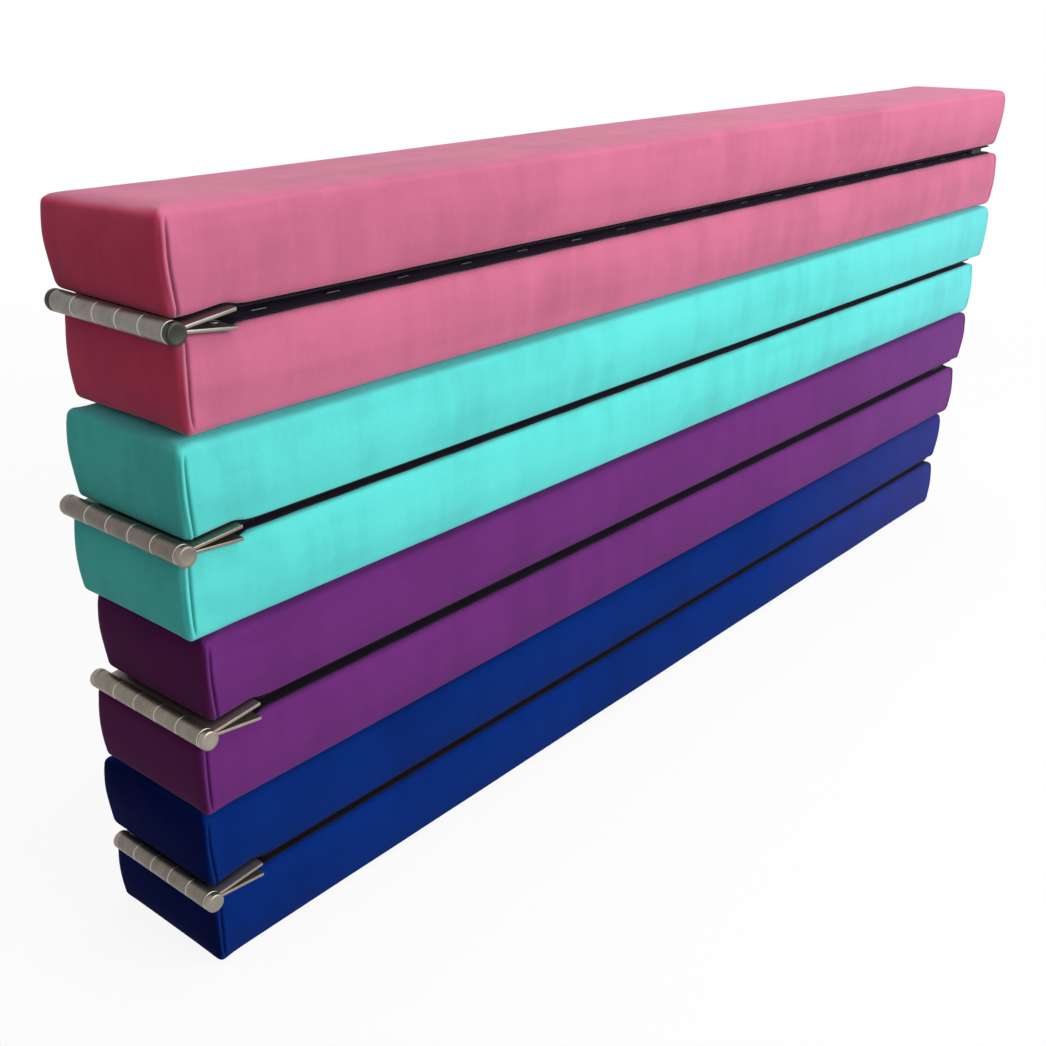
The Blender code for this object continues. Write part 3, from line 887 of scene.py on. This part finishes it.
swelling = {
    "quality": 6,
    "mass": 0.3,
    "tension_stiffness": 12,
    "compression_stiffness": 12,
    "shear_stiffness": 6,
    "bending_stiffness": 0.6,
    "vertex_group_mass": "hem",
    "use_pressure": True,
    "uniform_pressure_force": 4,
}
swellSteps = 20


def swellCover(piece):  # Cloth with pressure, its hem pinned, and no point moved far
    start = readPoints(piece)
    pins = piece.vertex_groups.new(name="hem")
    hem = [index for index, point in enumerate(start) if point[2] < cover["hemPinned"]]
    pins.add(hem, 1.0, "REPLACE")
    cloth = piece.modifiers.new("Cloth", "CLOTH")
    for name, value in swelling.items():
        setattr(cloth.settings, name, value)
    cloth.settings.effector_weights.gravity = 0
    scene = bpy.context.scene
    for step in range(1, swellSteps + 1):
        scene.frame_set(step)
    swollen = piece.evaluated_get(bpy.context.evaluated_depsgraph_get()).data
    move = readVectors(swollen.vertices, "co") - start
    piece.modifiers.remove(cloth)
    piece.vertex_groups.remove(pins)
    scene.frame_set(1)
    reach = np.linalg.norm(move, axis=1, keepdims=True) + 1e-9
    most = cover["swell"]
    writePoints(piece, start + move / reach * most * np.tanh(reach / most))


seam = {
    "fromEnd": 0.0060,
    "bow": 0.0012,
    "stop": 0.0070,  # the fold ends this far below the play edge
    "stopFade": 0.003,
    "groove": {"width": 0.00075, "deep": 0.0013},
    "lip": {"at": -0.0019, "width": 0.0011, "high": 0.0007},
    "panel": {"at": 0.0020, "width": 0.0014, "share": 0.3},
    "onSide": (0.35, 0.75),  # of the normal's share across the beam
    "sideBand": (0.010, 0.007),
    "reach": 0.02,
    # width of the painted shade along the groove
    "dark": 0.0006,
    "worn": 0.35,
    "wornNormal": 0.7,  # half way round the play edge
    "wornSpread": 0.3,
    "endShadeMask": (0.35, 0.85),
    "fineCuts": 4,
    "fineReach": 0.0125,
    "fineBand": 0.0060,
    "level": 0.3,  # steepest slope of an edge that is cut again
}


def seamDistance(points, place):  # how far a point stands from the end of its half
    hingeEnd, farEnd, hingeTuck, farTuck = swollenEnds[place.name]
    up = np.clip(points[:, 2] / place.height, 0, 1)
    return np.minimum(points[:, 0] + endSurface(up, 1.0, hingeEnd, hingeTuck),
                      place.length + endSurface(up, 1.0, farEnd, farTuck) - points[:, 0])


def finishCover(piece, place, rests):
    applyModifier(piece, "SUBSURF", levels=1, render_levels=1)
    points = clearBarrel(readPoints(piece), place)
    if rests:  # pressed flat by what it rests on or carries
        points[:, 2] = np.minimum(points[:, 2], place.height)
    writePoints(piece, points)

    def nearFold(a, b):  # close cuts where the corner folds are
        level = np.abs(a[2] - b[2]) < seam["level"] * np.linalg.norm(a - b, axis=0)
        middle = ((a + b) / 2).T
        return level & (seamDistance(middle, place) < seam["fineReach"]) & (
            np.abs(middle[:, 1]) > place.width / 2 - seam["fineBand"])

    cutEdges(piece, nearFold, seam["fineCuts"])


def foldSeams(piece, place):
    points = readPoints(piece)
    normals = readNormals(piece)
    height = place.height
    y, z = points[:, 1], points[:, 2]
    up = np.clip(z / height, 0, 1)
    fromEnd = seamDistance(points, place)
    beyond = fromEnd - seam["fromEnd"] + seam["bow"] * (np.sin(np.pi * up) - 0.5)
    inner, outer = (place.width / 2 - depth for depth in seam["sideBand"])
    onSide = rise(np.abs(normals[:, 1]), *seam["onSide"]) * rise(np.abs(y), inner, outer)
    stop, fade = seam["stop"], seam["stopFade"]
    runs = rise(height - z, stop - fade, stop + fade) * onSide * (fromEnd < seam["reach"])
    groove = ridge(beyond, seam["groove"]["width"])
    lip = ridge(beyond - seam["lip"]["at"], seam["lip"]["width"])
    panel = ridge(beyond - seam["panel"]["at"], seam["panel"]["width"])
    high = seam["lip"]["high"]
    push = runs * (lip * high + panel * seam["panel"]["share"] * high
                   - groove * seam["groove"]["deep"])
    writePoints(piece, points + normals * push[:, None])
    offEdge = np.abs(np.abs(normals[:, 2]) - seam["wornNormal"])
    rounded = 1 - rise(offEdge, 0.0, seam["wornSpread"])
    # painted highlight on the seam's lip, and wear on the rounded play edges
    worn = np.maximum(runs * lip, seam["worn"] * rounded * (z > height / 2))
    # painted shade in the seam's groove
    writeAttribute(piece, "seamGrooveShade", runs * ridge(beyond, seam["dark"]))
    writeAttribute(piece, "edgeWearAndLipHighlight", worn)
    # which faces take the ends' painted-shade colour
    writeAttribute(piece, "endShadeMask", rise(np.abs(normals[:, 0]), *seam["endShadeMask"]))


def insideHem(place):
    hem, hemEnd = cover["hem"], cover["hemEnd"]
    facing, below = cover["hemFacing"], cover["hemBelow"]
    return lambda middle, normal: (
        (normal[2] < facing) & (middle[2] < below) & (middle[0] > hemEnd)
        & (middle[0] < place.length - hemEnd) & (np.abs(middle[1]) < place.width / 2 - hem))


def openSole(piece, place):  # the hem is turned under and the board shows inside it
    pickFaces(piece, insideHem(place))
    bpy.ops.mesh.delete(type="FACE")
    editOff()
    applyModifier(piece, "SOLIDIFY", thickness=cover["wall"], offset=-1, use_rim=True)


tray = {
    "slack": 0.0006,
    "depth": 0.030,
    "roof": 0.0326,
    "roofFrom": 0.02,  # points between these heights, inside the hem, become the roof
    "roofTo": 0.042,
    "spare": 0.003,
}


def makeFoam(covering, place):  # the cover's own form, a wall thinner, with the board's tray
    filling = copyPiece(covering, f"{place.name}_foam_block")
    shrink = cover["wall"] + tray["slack"]
    writePoints(filling, readPoints(filling) - readNormals(filling) * shrink)
    pickFaces(filling, insideHem(place))
    bpy.ops.mesh.extrude_region_move(TRANSFORM_OT_translate={"value": (0, 0, tray["depth"])})
    editOff()
    points = readPoints(filling)
    x, y, z = points.T
    hem, hemEnd = cover["hem"] - tray["spare"], cover["hemEnd"] - tray["spare"]
    roof = ((z > tray["roofFrom"]) & (z < tray["roofTo"]) & (np.abs(y) < place.width / 2 - hem)
            & (x > hemEnd) & (x < place.length - hemEnd))
    points[roof, 2] = tray["roof"]
    writePoints(filling, points)
    return filling


def makeCover(place, rests, order):
    piece = coverBlank(place)
    shapeCover(piece, place, order + 1)
    swellCover(piece)
    writePoints(piece, flattenEnd(readPoints(piece), place))
    filling = makeFoam(piece, place)
    finishCover(piece, place, rests)
    foldSeams(piece, place)
    openSole(piece, place)
    settle(piece, place, suedes[place.beam], f"{place.name}_cover",
           place.setback, place.lift)
    settle(filling, place, foam, f"{place.name}_foam", place.setback, place.lift)
    return piece


sole = {"thickness": 0.0008, "cuts": (190, 16), "pucker": 0.00035, "puckerBand": 0.012,
        "corner": 0.006}

staple = {
    "crown": 0.0098,
    "wide": 0.0011,
    "proud": 0.0005,
    "sunk": 0.0002,
    "edge": 0.0003,
    "every": 0.055,
    "fromEdge": 0.0120,
    "first": 0.052,
    "last": 0.02,
    "shift": 0.004,  # one row against the other
    "stray": 0.0012,
    "slant": 0.08,
    "wander": (2.7, 5.1),  # from one staple to the next, of its place and of its slant
}


def makeSole(place):  # black cloth stapled over the hem
    length, width = place.soleTo - place.soleFrom, 2 * place.soleHalf
    bpy.ops.object.select_all(action="DESELECT")
    bpy.ops.mesh.primitive_grid_add(
        x_subdivisions=sole["cuts"][0], y_subdivisions=sole["cuts"][1], size=1,
        location=((place.soleFrom + place.soleTo) / 2, 0, 0))
    piece = bpy.context.object
    piece.scale = (length, width, 1)
    piece.name = piece.data.name = f"{place.name}_sole_cloth"
    bpy.ops.object.transform_apply(location=True, rotation=True, scale=True)
    points = readPoints(piece)
    x, y = points.T[:2].copy()
    fromEnd = np.minimum(x - place.soleFrom, place.soleTo - x)
    corner = np.clip((sole["corner"] - fromEnd) / sole["corner"], 0, 1)
    points[:, 1] *= 1 - (1 - np.sqrt(1 - corner ** 2)) * sole["corner"] / place.soleHalf
    edge = rise(np.abs(y), place.soleHalf - sole["puckerBand"], place.soleHalf)
    between = np.sin(np.pi * (x - place.soleFrom - staple["first"]) / staple["every"]) ** 2
    pressed = leafPress(x, place.halfGap)
    points[:, 2] = place.halfGap + pressed - edge * between * sole["pucker"]
    writePoints(piece, points)
    editOn(piece)
    bpy.ops.mesh.select_all(action="SELECT")
    bpy.ops.mesh.flip_normals()  # its face looks out of the sole
    editOff()
    applyModifier(piece, "SOLIDIFY", thickness=sole["thickness"], offset=-1, use_rim=True)
    settle(piece, place, soleCloth, f"{place.name}_sole")


def makeStaples(place):
    every, wide = staple["every"], staple["wide"]
    half = staple["crown"] / 2
    start = place.soleFrom + staple["first"]
    edge = place.soleHalf - staple["fromEdge"]
    face = place.halfGap - staple["proud"]
    count = int((place.soleTo - staple["last"] - start) / every) + 1
    piece = addBlock(f"{place.name}_staples", (start - half, -edge - wide / 2, face),
                     (start + half, wide / 2 - edge, place.halfGap + staple["sunk"]))
    bevelEdges(piece, lambda a, b: np.maximum(a[2], b[2]) < face + 1e-6, staple["edge"], 2)
    for copies, step in ((count, (every, 0, 0)), (2, (staple["shift"], 2 * edge, 0))):
        applyModifier(piece, "ARRAY", count=copies, use_relative_offset=False,
                      use_constant_offset=True, constant_offset_displace=step)
    points = readPoints(piece)
    row = np.sign(points[:, 1])
    number = np.round((points[:, 0] - start) / every)
    fromMiddle = points[:, 0] - start - number * every
    places, slants = (np.sin(number * step + row) for step in staple["wander"])
    points[:, 1] += staple["stray"] * places + staple["slant"] * slants * fromMiddle
    writePoints(piece, points)
    settle(piece, place, steel, None, angle=40)


screwHead = makeScrewHead()
for order, (beam, half) in enumerate((beam, half) for beam in beams for half in halves):
    place = Place(beam, half)
    rests = not (beam == beams[-1] and half == "upper")
    made = makeCover(place, rests, order)
    makeSole(place)
    makeStaples(place)
    makeLeaf(place, screwHead)
    if half == "lower":
        makePin(place)
    print("half", place.name, len(made.data.polygons), "faces on its cover")
bpy.data.objects.remove(screwHead)


studio = {
    "world": (1.0, 0.985, 0.97, 1),
    "fill": 0.30,
    "floorSize": 60,
    "floorDrop": 0.0003,
    "floorSeen": (0.92, 0.92, 0.92, 1),
    "floorCloud": (0.90, 0.90, 0.90, 1),
    "floorLit": (0.30, 0.30, 0.30, 1),  # what the beams get back from it
    "floorWhite": 0.90,
    "clear": (0.75, 1.9),  # from here to there the floor turns to the backdrop's white
    "aim": (0, 0, 0.23),
    "key": {"at": (0.75, -2.6, 1.05), "size": (2.6, 1.5), "power": 80},
    "top": {"at": (0.25, -0.1, 2.4), "size": (2.4, 1.6), "power": 30},
}

photograph = {  # the photograph's viewpoint, worked out from the beams' edges
    "at": (-0.87979, -0.57249, 0.55681),
    "yaw": 49.9404,
    "pitch": 26.1767,
    "roll": 0.8894,
    "lens": 43.764,
    "sensor": 36,
    "frameSize": 1046,
    "axisPixel": (500, 600),
}


def anyRay(tree, *kinds):  # 1 for the kinds of ray that are named
    path = tree.nodes.new("ShaderNodeLightPath")
    found = path.outputs[kinds[0]]
    for kind in kinds[1:]:
        either = tree.nodes.new("ShaderNodeMath")
        either.operation = "MAXIMUM"
        tree.links.new(found, either.inputs[0])
        tree.links.new(path.outputs[kind], either.inputs[1])
        found = either.outputs[0]
    return found


seenRays = ("Is Camera Ray", "Is Glossy Ray", "Is Transmission Ray")


def whiteFor(tree, kind, share, shaded, output):  # the backdrop's white over what is shaded
    white = tree.nodes.new(kind)
    white.inputs["Color"].default_value = (1, 1, 1, 1)
    mix = tree.nodes.new("ShaderNodeMixShader")
    tree.links.new(share, mix.inputs["Fac"])
    tree.links.new(shaded.outputs[0], mix.inputs[1])
    tree.links.new(white.outputs[0], mix.inputs[2])
    tree.links.new(mix.outputs[0], tree.nodes[output].inputs["Surface"])


def makeWorld():
    world = bpy.data.worlds.new("studio")
    bpy.context.scene.world = world
    world.use_nodes = True
    tree = world.node_tree
    fill = tree.nodes["Background"]
    fill.inputs["Color"].default_value = studio["world"]
    fill.inputs["Strength"].default_value = studio["fill"]
    whiteFor(tree, "ShaderNodeEmission", anyRay(tree, *seenRays), fill, "World Output")


def makeFloor():  # seen through, on to the world's white
    bpy.ops.object.select_all(action="DESELECT")
    level = cadBox[0][2] - studio["floorDrop"]
    bpy.ops.mesh.primitive_plane_add(size=studio["floorSize"], location=(0, 0, level))
    floor = bpy.context.object
    floor.name = "studio_floor"
    finish = Finish("studioFloor", Roughness=0.9, Specular_IOR_Level=0.1)
    seen = Wire(finish, anyRay(finish.tree, *seenRays))
    cloud = finish.cloudy(0.6) * 0.5
    shade = finish.mixed(cloud, studio["floorSeen"], studio["floorCloud"])
    finish.feed("Base Color", finish.mixed(seen, studio["floorLit"], shade))
    distance = finish.node("ShaderNodeVectorMath", {"operation": "LENGTH"}, {0: finish.place},
                           output="Value")
    white = studio["floorWhite"]
    clear = finish.between(distance, *studio["clear"]) * (1 - white)
    share = seen * (white + clear)
    whiteFor(finish.tree, "ShaderNodeBsdfTransparent", share.socket, finish.shader,
             "Material Output")
    floor.data.materials.append(finish.material)


def makeLamp(name):
    lamp = studio[name]
    data = bpy.data.lights.new(name, "AREA")
    data.shape = "RECTANGLE"
    data.size, data.size_y = lamp["size"]
    data.energy = lamp["power"]
    light = bpy.data.objects.new(name, data)
    bpy.context.scene.collection.objects.link(light)
    light.location = lamp["at"]
    aim = Vector(studio["aim"]) - light.location
    light.rotation_euler = aim.to_track_quat("-Z", "Y").to_euler()


def makeCamera():
    data = bpy.data.cameras.new("photograph")
    camera = bpy.data.objects.new("photograph", data)
    bpy.context.scene.collection.objects.link(camera)
    camera.location = photograph["at"]
    yaw, roll = math.radians(photograph["yaw"]), math.radians(photograph["roll"])
    turn = Euler((math.radians(90 - photograph["pitch"]), 0, -yaw)).to_matrix()
    camera.rotation_euler = (turn @ Matrix.Rotation(roll, 3, "Z")).to_euler()
    data.lens = photograph["lens"]
    data.sensor_width = photograph["sensor"]
    frameSize, (axisX, axisY) = photograph["frameSize"], photograph["axisPixel"]
    data.shift_x = (frameSize / 2 - axisX) / frameSize
    data.shift_y = (axisY - frameSize / 2) / frameSize
    data.clip_start = 0.01
    bpy.context.scene.camera = camera


makeWorld()
makeFloor()
makeLamp("key")
makeLamp("top")
makeCamera()
bpy.context.scene.view_settings.view_transform = "Standard"
print("studio set")
